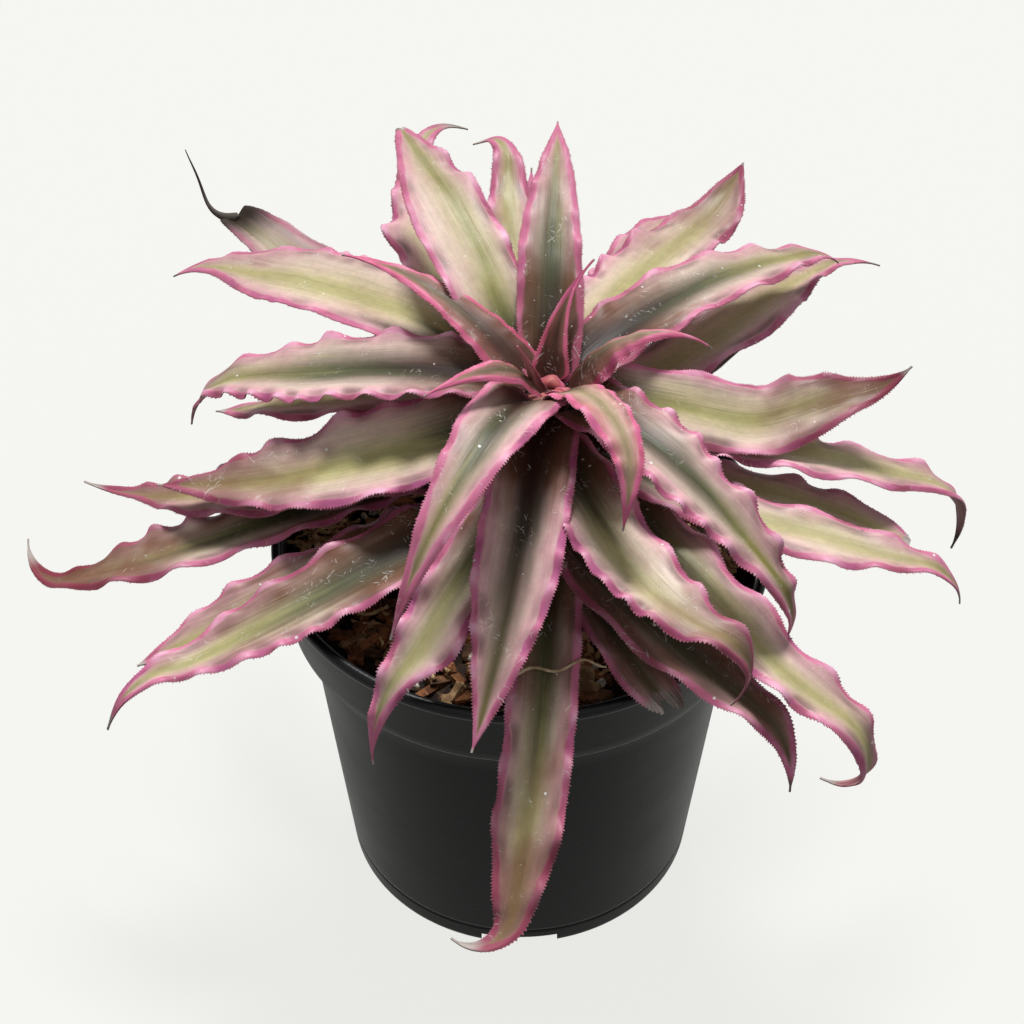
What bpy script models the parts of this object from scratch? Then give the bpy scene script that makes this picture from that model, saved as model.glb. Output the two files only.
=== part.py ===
# Potted earth star (Cryptanthus): a rosette of stiff, channelled leaves on a short stem,
# in a plain round nursery pot that is filled with bark potting mix.
# Metres and degrees. +Z is up, and the origin is the middle of the pot's underside.

import math

import bmesh
import bpy
from mathutils import Matrix, Vector

mm = 0.001
gap = 0.3 * mm            # clearance between pieces that touch on the real plant

# The pot, a turned shell: a tapered body under a straight rim band with a rolled lip
potHeight = 138 * mm
rimRadius = 80 * mm       # outside of the lip
bandRadius = 76 * mm      # outside of the rim band at its lower edge
bandBottom = 112 * mm
bodyTopRadius = 70.5 * mm
footRadius = 60.5 * mm
wall = 1.8 * mm
floorThickness = 2.2 * mm
lipThickness = 3.2 * mm
lipHeight = 2.5 * mm
edgeRound = 1 * mm        # size of the small breaks on the foot and the band
innerStep = 5 * mm        # height over which the inside widens into the band
innerFoot = 2 * mm        # break between the inner wall and the floor
potSides = 64
drainCount = 4
drainWidth = 26 * mm
drainHeight = 4 * mm
drainReach = 12 * mm      # how far each drain slot runs in under the floor

# The potting mix
soilLevel = 126 * mm
soilSides = 48
wellSides = 24            # the well that holds the stem

# The stem stands a little off the pot's axis
plantX = 8 * mm
plantY = 5 * mm
stemRadius = 7 * mm
stemTopRadius = 4 * mm
stemTop = 208 * mm
stemShoulder = 188 * mm   # the stem narrows above this
stemFoot = 100 * mm       # the lower end, held in the mix
stemSides = 24

# The unopened bud on the stem's top
budLength = 9 * mm
budRadius = 4 * mm
budSides = 12

# All leaves
stations = 12             # cross-sections along a leaf
fineSteps = 48            # steps along its centreline
crowding = 0.9            # below 1, the cross-sections stand closer towards the tip
ribThickness = 1.5 * mm
marginThickness = 0.5 * mm
thinTip = 0.4 * mm        # thickness that is left where the leaf has no width
neckShare = 0.34          # width at the stem, as a share of the full width
shoulderAt = 0.34         # where along its length a leaf reaches its full width
fold = 0.2                # how far the margins stand above the rib, as a share of the half width
tipWidth = 0.8 * mm

# The dried thread that is left of a dead tip
threadRadius = 0.7 * mm
threadSteps = 6
threadRise = 65           # degrees above level at its end


# A leaf's sizes, in millimetres and degrees.
#   bearing   direction from the stem, counted from +X towards +Y
#   height    of its base above the floor
#   lift      angle above level at which it leaves the stem
#   droop     how far that angle has fallen by the tip; bend below 1 puts the fall near the stem
#   sway, bow sideways turn that grows towards the tip, and one that comes and goes
#   hook      (share of the length, extra fall, extra swing) of the curled tip
#   roll      lean of the whole blade to one side
#   hold      where it starts to narrow, and taper sets how full it then stays
#   thread    length of the dried thread beyond the blade
def leaf(bearing, height, length, width, lift, droop, bend=0.5, sway=0, bow=0,
         hook=(0.1, 0, 0), roll=0, hold=0.5, taper=1.6, thread=0):
    return locals()


leaves = {
    "left_leaf_1": leaf(121, 163, 192, 25, 24, 36, 0.3, 17, hold=0.7, taper=3, thread=28),
    "left_leaf_2": leaf(134, 186, 173, 30, 32, 55, 0.3, 16, hook=(0.1, 12, 2), roll=-8, hold=0.6),
    "left_leaf_3": leaf(162, 197.5, 138, 30, 28, 61, 0.3, -5, hook=(0.25, 50, 0), roll=-6),
    "left_leaf_4": leaf(138, 172, 122, 24, 22, 53, 0.5, -4, bow=34),
    "left_leaf_5": leaf(189, 182, 130, 33, -3, 20, 0.3, -40, roll=-15, taper=1.3),
    "left_leaf_6": leaf(182, 170, 161, 27, -5, 17, 0.3, -37, hook=(0.17, -26, 8), roll=-4),
    "left_leaf_7": leaf(177, 161, 190, 22, 10, 38, 0.3, -28, bow=18, hook=(0.17, -45, -52),
                        hold=0.55, taper=1.4),
    "left_leaf_8": leaf(215, 158, 153, 26, -1, 15, 0.5, -17, hook=(0.16, 45, 15), roll=-4, taper=1.4),
    "left_leaf_9": leaf(206, 149, 133, 26, 14, 35, 0.4, -10, hold=0.6, taper=2.5),
    "front_leaf_1": leaf(250, 172, 123, 19, 12, 60, 0.9, -33, hook=(0.25, 50, 25), roll=-15),
    "front_leaf_2": leaf(251, 197, 115, 23, 43, 111, 1, -18, hold=0.3, taper=1.3),
    "front_leaf_3": leaf(262, 190, 115, 25, 29, 69, 0.4, -12),
    "front_leaf_4": leaf(271, 156, 161, 20, 19, 57, 0.4, -18, hook=(0.14, -25, -105), hold=0.7,
                        taper=1.4),
    "front_leaf_5": leaf(286, 152, 91, 17, 1, 14, 0.6, 25, hold=0.8, taper=4),
    "front_leaf_6": leaf(280, 162, 130, 25, 4, 20, 0.3, 36, bow=21, hook=(0.19, 48, -56)),
    "front_leaf_7": leaf(286, 180, 126, 23, 19, 26, 0.3, 60, bow=-8, hook=(0.25, 117, -10), hold=0.4),
    "front_leaf_8": leaf(318, 164.5, 164, 21, 18, 47, 0.5, 45, bow=-23, hook=(0.27, 142, -44),
                        hold=0.6, taper=1.4),
    "front_leaf_9": leaf(319, 192, 114, 24, 38, 90, 0.5, 2, hook=(0.24, 58, 5), hold=0.45, taper=1.5),
    "front_leaf_10": leaf(326, 177, 62, 17, 4, 19, 0.8, -15),
    "right_leaf_1": leaf(348, 160, 135, 20, -3, 3, 0.5, 9, bow=-9, hook=(0.18, 80, -4), hold=0.6),
    "right_leaf_2": leaf(3, 154, 113, 18, 8, 32, 0.8, -19, hold=0.8, taper=3),
    "right_leaf_3": leaf(12, 168, 161, 19, 11, 39, 0.5, 15, bow=-14, hook=(0.25, 83, -2), hold=0.6),
    "right_leaf_4": leaf(13, 188, 120, 27, -3, 25, 0.3, 15, bow=-6, hook=(0.5, -75, -8), roll=20,
                        hold=0.55),
    "right_leaf_5": leaf(45, 164, 170, 25, 15, 26, 0.5, 8, hook=(0.21, 20, -29)),
    "right_leaf_6": leaf(51, 193, 144, 26, 32, 53, 0.3, -17, hook=(0.13, 30, 4), hold=0.55),
    "right_leaf_7": leaf(68, 184, 152, 28, 23, 39, 0.3, -15, hook=(0.29, -51, 4)),
    "right_leaf_8": leaf(75, 168, 132, 20, 14, 22, 0.6, -13, hold=0.75, taper=2.5),
    "back_leaf_1": leaf(88, 195, 105, 21, 34, 38, 1, hold=0.45, taper=1.4),
    "back_leaf_2": leaf(115, 189, 119, 28, 33, 34, 0.7, -3, taper=1.5),
    "back_leaf_3": leaf(121, 166, 177, 20, 19, 22, 0.7, -46, hook=(0.16, 10, -62)),
    "back_leaf_4": leaf(99, 174, 131, 19, 23, 16, 1, -9, hook=(0.21, 36, 60)),
    "back_leaf_5": leaf(94, 153, 130, 17, 24, 18, 1, -5),
    "crown_leaf_1": leaf(139, 200, 83, 15, 35, 56, 0.7, 2),
    "crown_leaf_2": leaf(73, 205, 30, 9, 46, 30, 0.8, -21),
    "crown_leaf_3": leaf(358, 201, 47, 16, 44, 76, 1.2, 2, roll=10),
    "crown_leaf_4": leaf(227, 204, 46, 12, 33, 28, 0.7, -13),
    "crown_leaf_5": leaf(225, 206, 15, 8, 52, -5, 1, 8),
    "crown_leaf_6": leaf(293, 201, 77, 13, 36, 99, 1.5, -10, hook=(0.34, 15, -40)),
    "dry_leaf_right": leaf(46, 153, 88, 9, 6, 8, 0.5, hook=(0.25, -40, -30)),
}

colours = {
    "pot": (0.02, 0.02, 0.022),
    "mix": (0.06, 0.04, 0.03),
    "stem": (0.12, 0.07, 0.05),
    "leaf": (0.55, 0.45, 0.36),
    "bud": (0.6, 0.3, 0.35),
    "dry": (0.16, 0.12, 0.1),
}


def material(name, colour, roughness):
    mat = bpy.data.materials.new(name)
    mat.use_nodes = True
    shader = mat.node_tree.nodes["Principled BSDF"]
    shader.inputs["Base Color"].default_value = (*colour, 1)
    shader.inputs["Roughness"].default_value = roughness
    shader.inputs["Metallic"].default_value = 0
    mat.diffuse_color = (*colour, 1)
    return mat


def addObject(name, bm, mat, smooth=True):
    mesh = bpy.data.meshes.new(name)
    bmesh.ops.recalc_face_normals(bm, faces=bm.faces)
    bm.to_mesh(mesh)
    bm.free()
    if smooth:
        mesh.shade_smooth()
        mesh.set_sharp_from_angle(angle=math.radians(35))
    mesh.materials.append(mat)
    obj = bpy.data.objects.new(name, mesh)
    bpy.context.scene.collection.objects.link(obj)
    return obj


# Spins a profile of (radius, height) pairs round Z. Both its ends lie on the axis.
def turned(profile, sides):
    bm = bmesh.new()
    verts = [bm.verts.new((r, 0, z)) for r, z in profile]
    edges = [bm.edges.new(pair) for pair in zip(verts, verts[1:])]
    bmesh.ops.spin(bm, geom=verts + edges, cent=(0, 0, 0), axis=(0, 0, 1), angle=2 * math.pi,
                   steps=sides, use_merge=True)
    bmesh.ops.remove_doubles(bm, verts=bm.verts, dist=0.02 * mm)
    return bm


def cutter(name, bm):
    obj = addObject(name, bm, None, smooth=False)
    obj.display_type = 'WIRE'
    obj.hide_render = True
    return obj


def cutWith(obj, tool):
    cut = obj.modifiers.new(tool.name, 'BOOLEAN')
    cut.operation = 'DIFFERENCE'
    cut.object = tool


# Outside of the pot's body below the rim band
def outerRadius(z):
    return footRadius + (bodyTopRadius - footRadius) * z / bandBottom


def makePot(mat):
    lipInner = rimRadius - lipThickness
    profile = [(0, 0), (footRadius - edgeRound, 0), (outerRadius(edgeRound), edgeRound)]
    profile += [(bodyTopRadius, bandBottom), (bandRadius - edgeRound, bandBottom + edgeRound),
                (bandRadius, bandBottom + 2 * edgeRound)]
    profile += [(rimRadius - 0.8 * edgeRound, potHeight - lipHeight - edgeRound),
                (rimRadius, potHeight - lipHeight),
                (rimRadius - 0.5 * edgeRound, potHeight - 0.6 * edgeRound),
                (rimRadius - 1.6 * edgeRound, potHeight),
                (lipInner + 0.6 * edgeRound, potHeight - 0.5 * edgeRound), (lipInner, potHeight - lipHeight)]
    profile += [(bandRadius - wall, bandBottom + innerStep), (bodyTopRadius - wall, bandBottom + edgeRound),
                (outerRadius(floorThickness) - wall, floorThickness + innerFoot),
                (footRadius - wall - innerFoot, floorThickness), (0, floorThickness)]
    pot = addObject("pot", turned(profile, potSides), mat)
    slots = bmesh.new()
    for k in range(drainCount):
        made = bmesh.ops.create_cube(slots, size=1)["verts"]
        bmesh.ops.scale(slots, verts=made, vec=(2 * drainReach, drainWidth, 2 * drainHeight))
        bmesh.ops.translate(slots, verts=made, vec=(footRadius, 0, 0))
        turn = 2 * math.pi * k / drainCount + math.pi / 2
        bmesh.ops.rotate(slots, verts=made, cent=(0, 0, 0), matrix=Matrix.Rotation(turn, 3, 'Z'))
    cutWith(pot, cutter("drain_cutter", slots))


# The mix fills the pot up to its level, with a well for the stem
def makeMix(mat):
    clear = wall + gap
    bottom = floorThickness + gap
    stepShare = (soilLevel - bandBottom - innerStep) / (potHeight - lipHeight - bandBottom - innerStep)
    topRadius = bandRadius - clear + (rimRadius - lipThickness - bandRadius + wall) * stepShare
    profile = [(0, bottom), (footRadius - clear - innerFoot, bottom),
               (outerRadius(floorThickness) - clear, bottom + innerFoot),
               (bodyTopRadius - clear, bandBottom + edgeRound), (bandRadius - clear, bandBottom + innerStep),
               (topRadius, soilLevel), (0, soilLevel)]
    mix = addObject("potting_mix", turned(profile, soilSides), mat)
    well = bmesh.new()
    wellRadius = (stemRadius + gap) / math.cos(math.pi / wellSides)
    bmesh.ops.create_cone(well, cap_ends=True, segments=wellSides, radius1=wellRadius, radius2=wellRadius,
                          depth=2 * (soilLevel - stemFoot + gap))
    bmesh.ops.translate(well, verts=well.verts, vec=(plantX, plantY, soilLevel))
    cutWith(mix, cutter("stem_well_cutter", well))


def stemRadiusAt(z):
    share = max(0, min((z - stemShoulder) / (stemTop - edgeRound - stemShoulder), 1))
    return stemRadius + (stemTopRadius - stemRadius) * share


def makeStem(mat):
    profile = [(0, stemFoot), (stemRadius - edgeRound, stemFoot), (stemRadius, stemFoot + edgeRound),
               (stemRadius, stemShoulder), (stemTopRadius, stemTop - edgeRound),
               (stemTopRadius - edgeRound, stemTop), (0, stemTop)]
    stem = addObject("stem", turned(profile, stemSides), mat)
    stem.location = (plantX, plantY, 0)


# The small pointed bud of unopened leaves
def makeBud(mat):
    base = stemTop + gap
    profile = [(0, base), (0.8 * budRadius, base), (budRadius, base + 0.22 * budLength),
               (0.55 * budRadius, base + 0.67 * budLength), (0, base + budLength)]
    bud = addObject("crown_bud", turned(profile, budSides), mat)
    bud.location = (plantX, plantY, 0)


def direction(rise, heading):
    return Vector((math.cos(rise) * math.cos(heading), math.cos(rise) * math.sin(heading), math.sin(rise)))


def widthAt(s, size):
    grow = neckShare + (1 - neckShare) * math.sin(min(s / shoulderAt, 1) * math.pi / 2)
    fall = 1 - max(0, (s - size["hold"]) / (1 - size["hold"])) ** size["taper"]
    return max(size["width"] * mm * grow * fall, tipWidth)


def thicknessAt(half):
    return min(ribThickness, half / 4 + thinTip)


# Rise and heading of a leaf's centreline, m being the share of its length
def anglesAt(m, size):
    hookShare, hookFall, hookSwing = size["hook"]
    curl = max(0, (m - 1 + hookShare) / hookShare)
    rise = size["lift"] - size["droop"] * m ** size["bend"] - hookFall * curl
    swing = size["sway"] * m ** 1.5 + size["bow"] * math.sin(math.pi * m) + hookSwing * curl
    return math.radians(rise), math.radians(size["bearing"] + swing)


# Places, sideways vectors and upward vectors from the stem to the tip.
# The leaf's base stands against the stem: its face if the leaf rises, its back if it falls.
def centreline(size):
    bearing = math.radians(size["bearing"])
    height = size["height"] * mm
    thick = thicknessAt(widthAt(0, size) / 2)
    firstRise = anglesAt(0.5 / fineSteps, size)[0]
    out = stemRadiusAt(height) + gap + thick * max(0, -math.sin(firstRise))
    place = Vector((plantX + out * math.cos(bearing), plantY + out * math.sin(bearing), height))
    places = [place]
    headings = []
    directions = []
    for k in range(fineSteps):
        rise, heading = anglesAt((k + 0.5) / fineSteps, size)
        place = place + direction(rise, heading) * (size["length"] * mm / fineSteps)
        places.append(place)
        headings.append(heading)
        directions.append(direction(rise, heading))
    lean = math.radians(size["roll"])
    frames = []
    for k in range(fineSteps + 1):
        before = max(k - 1, 0)
        after = min(k, fineSteps - 1)
        along = (directions[before] + directions[after]).normalized()
        heading = (headings[before] + headings[after]) / 2
        side = Vector((-math.sin(heading), math.cos(heading), 0))
        up = along.cross(side).normalized()
        frames.append((places[k], side * math.cos(lean) + up * math.sin(lean),
                       up * math.cos(lean) - side * math.sin(lean)))
    return frames


# Three points across a leaf's face and three across its back
def bladeRing(at, side, up, half):
    lift = up * half * fold
    thick = thicknessAt(half)
    margin = up * min(marginThickness, thick)
    left = at + side * half + lift
    right = at - side * half + lift
    return [left, at, right, right - margin, at - up * thick, left - margin]


# Rings of the dried thread, which bends up and goes on from the blade's last ring
def threadRings(frames, length):
    at, side, up = frames[-1]
    along = side.cross(up).normalized()
    heading = math.atan2(along.y, along.x)
    start = math.asin(along.z)
    rings = []
    for k in range(threadSteps):
        rise = start + (math.radians(threadRise) - start) * (k + 1) / threadSteps
        at = at + direction(rise, heading) * (length * mm / threadSteps)
        up = direction(rise + math.pi / 2, heading)
        turns = [math.radians(30 + 60 * i) for i in range(6)]
        rings.append([at + (side * math.cos(t) + up * math.sin(t)) * threadRadius for t in turns])
    return rings


def makeLeaf(name, size, mat):
    frames = centreline(size)
    rings = []
    for k in range(stations + 1):
        s = (k / stations) ** crowding
        at, side, up = frames[round(s * fineSteps)]
        rings.append(bladeRing(at, side, up, widthAt(s, size) / 2))
    if size["thread"]:
        rings += threadRings(frames, size["thread"])
    bm = bmesh.new()
    loops = [[bm.verts.new(point) for point in ring] for ring in rings]
    for first, second in zip(loops, loops[1:]):
        for i in range(6):
            j = (i + 1) % 6
            bm.faces.new((first[i], first[j], second[j], second[i]))
    bm.faces.new(loops[0])
    bm.faces.new(reversed(loops[-1]))
    addObject(name, bm, mat)


for old in list(bpy.data.objects):
    bpy.data.objects.remove(old, do_unlink=True)

leafMat = material("leaf", colours["leaf"], 0.45)
dryMat = material("dry leaf", colours["dry"], 0.7)

makePot(material("black plastic", colours["pot"], 0.45))
makeMix(material("potting mix", colours["mix"], 0.9))
makeStem(material("old stem", colours["stem"], 0.8))
makeBud(material("bud", colours["bud"], 0.45))
for leafName, leafSize in leaves.items():
    makeLeaf(leafName, leafSize, dryMat if leafName.startswith("dry") else leafMat)
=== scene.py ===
import random
from math import asin, atan2, cos, hypot, pi, radians, sin, sqrt

import bmesh
import bpy
from mathutils import Matrix, Vector, noise


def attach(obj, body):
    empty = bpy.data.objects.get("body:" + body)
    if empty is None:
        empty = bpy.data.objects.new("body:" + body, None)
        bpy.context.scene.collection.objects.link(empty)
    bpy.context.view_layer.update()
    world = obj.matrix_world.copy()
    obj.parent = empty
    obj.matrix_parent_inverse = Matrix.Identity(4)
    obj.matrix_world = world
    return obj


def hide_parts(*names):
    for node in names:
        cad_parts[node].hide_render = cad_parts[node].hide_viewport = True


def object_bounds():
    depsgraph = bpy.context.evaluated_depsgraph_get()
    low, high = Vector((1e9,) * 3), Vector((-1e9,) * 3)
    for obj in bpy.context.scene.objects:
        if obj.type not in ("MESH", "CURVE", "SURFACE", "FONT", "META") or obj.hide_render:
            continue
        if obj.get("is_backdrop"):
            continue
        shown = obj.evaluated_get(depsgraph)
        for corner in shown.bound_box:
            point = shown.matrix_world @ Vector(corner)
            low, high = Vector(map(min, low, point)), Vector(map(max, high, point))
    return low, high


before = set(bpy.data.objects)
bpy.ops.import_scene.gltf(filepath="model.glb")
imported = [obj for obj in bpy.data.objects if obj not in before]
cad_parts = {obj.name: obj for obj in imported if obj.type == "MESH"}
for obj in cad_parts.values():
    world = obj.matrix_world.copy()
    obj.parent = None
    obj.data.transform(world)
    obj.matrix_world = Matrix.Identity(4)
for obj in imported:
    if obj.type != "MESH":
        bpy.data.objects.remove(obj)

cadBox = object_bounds()
mm = 0.001
scene = bpy.context.scene
scene.view_settings.view_transform = 'Standard'


def direction(rise, heading):
    return Vector((cos(rise) * cos(heading), cos(rise) * sin(heading), sin(rise)))


# Small helpers for materials

def colour(red, green, blue):  # screen values from 0 to 255
    def linear(c):
        c /= 255
        return c / 12.92 if c < 0.04045 else ((c + 0.055) / 1.055) ** 2.4
    return (linear(red), linear(green), linear(blue), 1)


def addNode(tree, kind, inputs=None, **settings):
    made = tree.nodes.new("ShaderNode" + kind)
    for key, value in settings.items():
        setattr(made, key, value)
    for key, value in (inputs or {}).items():
        if isinstance(value, bpy.types.NodeSocket):
            tree.links.new(value, made.inputs[key])
        else:
            made.inputs[key].default_value = value
    return made


def wire(value, node, socketName):
    node.id_data.links.new(value, node.inputs[socketName])


# The helpers below work in the tree that their inputs belong to
def treeOf(values):
    return next(value.id_data for value in values if isinstance(value, bpy.types.NodeSocket))


def calc(operation, *values):
    return addNode(treeOf(values), "Math", dict(enumerate(values)), operation=operation).outputs[0]


def times(first, second):
    return calc('MULTIPLY', first, second)


def add(*values):
    total = values[0]
    for value in values[1:]:
        total = calc('ADD', total, value)
    return total


# Rises smoothly from one value to another as the input goes from low to high
def ease(value, low, high, first=0.0, last=1.0):
    limits = {"Value": value, "From Min": low, "From Max": high, "To Min": first, "To Max": last}
    return addNode(value.id_data, "MapRange", limits, interpolation_type='SMOOTHSTEP').outputs[0]


def paint(share, first, second, mode='MIX'):
    parts = {0: share, 6: first, 7: second}
    return addNode(treeOf(parts.values()), "Mix", parts, data_type='RGBA', blend_type=mode).outputs[2]


# Turns a pattern, then scales it: scale is how many times it repeats in one unit
def stretch(vector, scale, turn=0.0, shift=(0, 0, 0)):
    moves = {"Vector": vector, "Location": shift, "Rotation": (0, 0, radians(turn))}
    moves["Scale"] = [1 / c for c in scale]
    return addNode(vector.id_data, "Mapping", moves, vector_type='TEXTURE').outputs[0]


def noiseOf(vector, scale=1.0, detail=2.0, roughness=0.5):
    settings = {"Vector": vector, "Scale": scale, "Detail": detail, "Roughness": roughness}
    return addNode(vector.id_data, "TexNoise", settings).outputs[0]


def newMaterial(name, roughness, specular=0.5):
    mat = bpy.data.materials.new(name)
    mat.use_nodes = True
    shader = mat.node_tree.nodes["Principled BSDF"]
    shader.inputs["Roughness"].default_value = roughness
    shader.inputs["Specular IOR Level"].default_value = specular
    return mat, mat.node_tree, shader


def bump(shader, height, distance, strength=1.0):
    settings = {"Height": height, "Distance": distance, "Strength": strength}
    wire(addNode(shader.id_data, "Bump", settings).outputs[0], shader, "Normal")


def addObject(name, data):
    obj = bpy.data.objects.new(name, data)
    scene.collection.objects.link(obj)
    return obj


def meshOf(name, bm):
    mesh = bpy.data.meshes.new(name)
    bm.to_mesh(mesh)
    bm.free()
    return mesh


# A finished piece: normals out, smooth with sharp corners kept, riding on the root body
def finishPiece(name, bm, mat, slotName, nodes=(), sharp=40):
    bmesh.ops.recalc_face_normals(bm, faces=bm.faces)
    mesh = meshOf(name, bm)
    mesh.shade_smooth()
    if sharp:
        mesh.set_sharp_from_angle(angle=radians(sharp))
    mesh.materials.append(mat)
    obj = addObject(name, mesh)
    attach(obj, "root")
    if nodes:
        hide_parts(*nodes)
    return obj


# Camera, a pale floor, an even white sky and one soft sun from behind and above

studio = {
    "cameraPlace": (0, -0.4706, 0.5742), "pitch": 42.3, "yaw": -0.352, "lens": 70.31,
    "sunBearing": 88, "sunHeight": 60, "sunStrength": 3.25, "sunSpread": 14,
    "skyLight": 0.32, "skyGloss": 0.6, "floorColour": (243, 243, 239), "floorGlow": 0.88, "floorGloss": 0.45,
}

camera = addObject("camera", bpy.data.cameras.new("camera"))
camera.data.lens = studio["lens"]
camera.data.sensor_width = 36
camera.data.clip_start = 0.01
camera.data.clip_end = 20
camera.location = studio["cameraPlace"]
camera.rotation_euler = (radians(90 - studio["pitch"]), 0, radians(-studio["yaw"]))
scene.camera = camera

sun = addObject("sun", bpy.data.lights.new("sun", 'SUN'))
sun.data.energy = studio["sunStrength"]
sun.data.angle = radians(studio["sunSpread"])
towardsSun = direction(radians(studio["sunHeight"]), radians(studio["sunBearing"]))
sun.rotation_euler = towardsSun.to_track_quat('Z', 'Y').to_euler()

world = bpy.data.worlds.new("studio")
world.use_nodes = True
scene.world = world
sky = world.node_tree


def directlySeen(tree, glossShare):  # 1 where the camera sees it, less in reflections
    path = addNode(tree, "LightPath").outputs
    seen = calc('MAXIMUM', path["Is Camera Ray"], path["Is Transmission Ray"])
    return calc('MAXIMUM', seen, times(path["Is Glossy Ray"], glossShare))


seen = directlySeen(sky, studio["skyGloss"])
strength = addNode(sky, "MapRange", {"Value": seen, "To Min": studio["skyLight"], "To Max": 1.0}).outputs[0]
backdrop = sky.nodes["Background"]
backdrop.inputs["Color"].default_value = (1, 1, 1, 1)
wire(strength, backdrop, "Strength")

floorBm = bmesh.new()
bmesh.ops.create_grid(floorBm, x_segments=1, y_segments=1, size=3)
floor = addObject("floor", meshOf("floor", floorBm))
floor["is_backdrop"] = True
floorMat, tree, shader = newMaterial("floor", 0.9, 0.0)
pale = colour(*studio["floorColour"])
shader.inputs["Base Color"].default_value = tuple(c * (1 - studio["floorGlow"]) for c in pale[:3]) + (1,)
shader.inputs["Emission Color"].default_value = pale
glow = times(directlySeen(tree, studio["floorGloss"]), studio["floorGlow"])
wire(glow, shader, "Emission Strength")
floor.data.materials.append(floorMat)
print("studio set up")


# Leaf finishes. Each blade carries its own places, all 0 to 1 unless it is said otherwise:
#   leafPlace  across, along and seed, in mm
#   leafShape  side from -1 to 1, share of the length, and distance to the margin in mm
#    leafLook   dark base (partly painted shade near the crown), green, dry
#   leafTint   pink, purple, upper face
#    leafAge    brown flanks (partly painted shade near the crown), rotten end, aged outer part (on a few blades partly painted shade)
#   leafWave   height of the margin's ruffle, from -1 in a hollow to 1 on a crest

matureTones = {
    "dark": (40, 22, 14), "greyGreen": (84, 86, 58), "brown": (122, 84, 64), "green": (134, 132, 70),
    "pale": (196, 186, 138), "cream": (226, 202, 187), "blush": (224, 176, 180), "pink": (214, 122, 156),
    "deepPink": (132, 54, 68), "paintedCrestHighlight": (246, 188, 212), "purple": (186, 92, 152),
    "paintedHollowShade": (104, 78, 70), "dry": (188, 177, 170), "dryDark": (98, 80, 72), "rot": (40, 27, 14),
    "back": (164, 98, 108), "backPale": (206, 160, 158), "scurf": (244, 242, 236),
    "roughness": 0.42, "specular": 0.2,
}
youngTones = dict(
    matureTones, dark=(66, 38, 28), greyGreen=(108, 96, 74), brown=(152, 100, 90), green=(136, 126, 84),
    pale=(188, 164, 138), cream=(214, 172, 160), blush=(204, 136, 138), pink=(228, 118, 156),
    deepPink=(160, 64, 80), roughness=0.44)
budTones = dict(
    youngTones, dark=(110, 44, 46), greyGreen=(150, 74, 74), brown=(168, 84, 86), green=(176, 104, 96),
    pale=(192, 112, 110), cream=(206, 122, 124), blush=(188, 92, 100), back=(184, 92, 98))

leafPattern = {
    "stripeWidth": 0.82, "stripeTaper": 0.3,  # shares of half the width
    "rimFull": 1.3, "rimEnd": 2.4, "rimWander": 3.0,  # mm from the margin
    "hairs": 0.36, "specks": ((0.17, 0, 0.5, 0.85), (0.4, 15, 0.75, 0.5)),  # size, shift, rarity, amount
    "relief": 0.3, "reliefStrength": 0.6,
}


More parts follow.
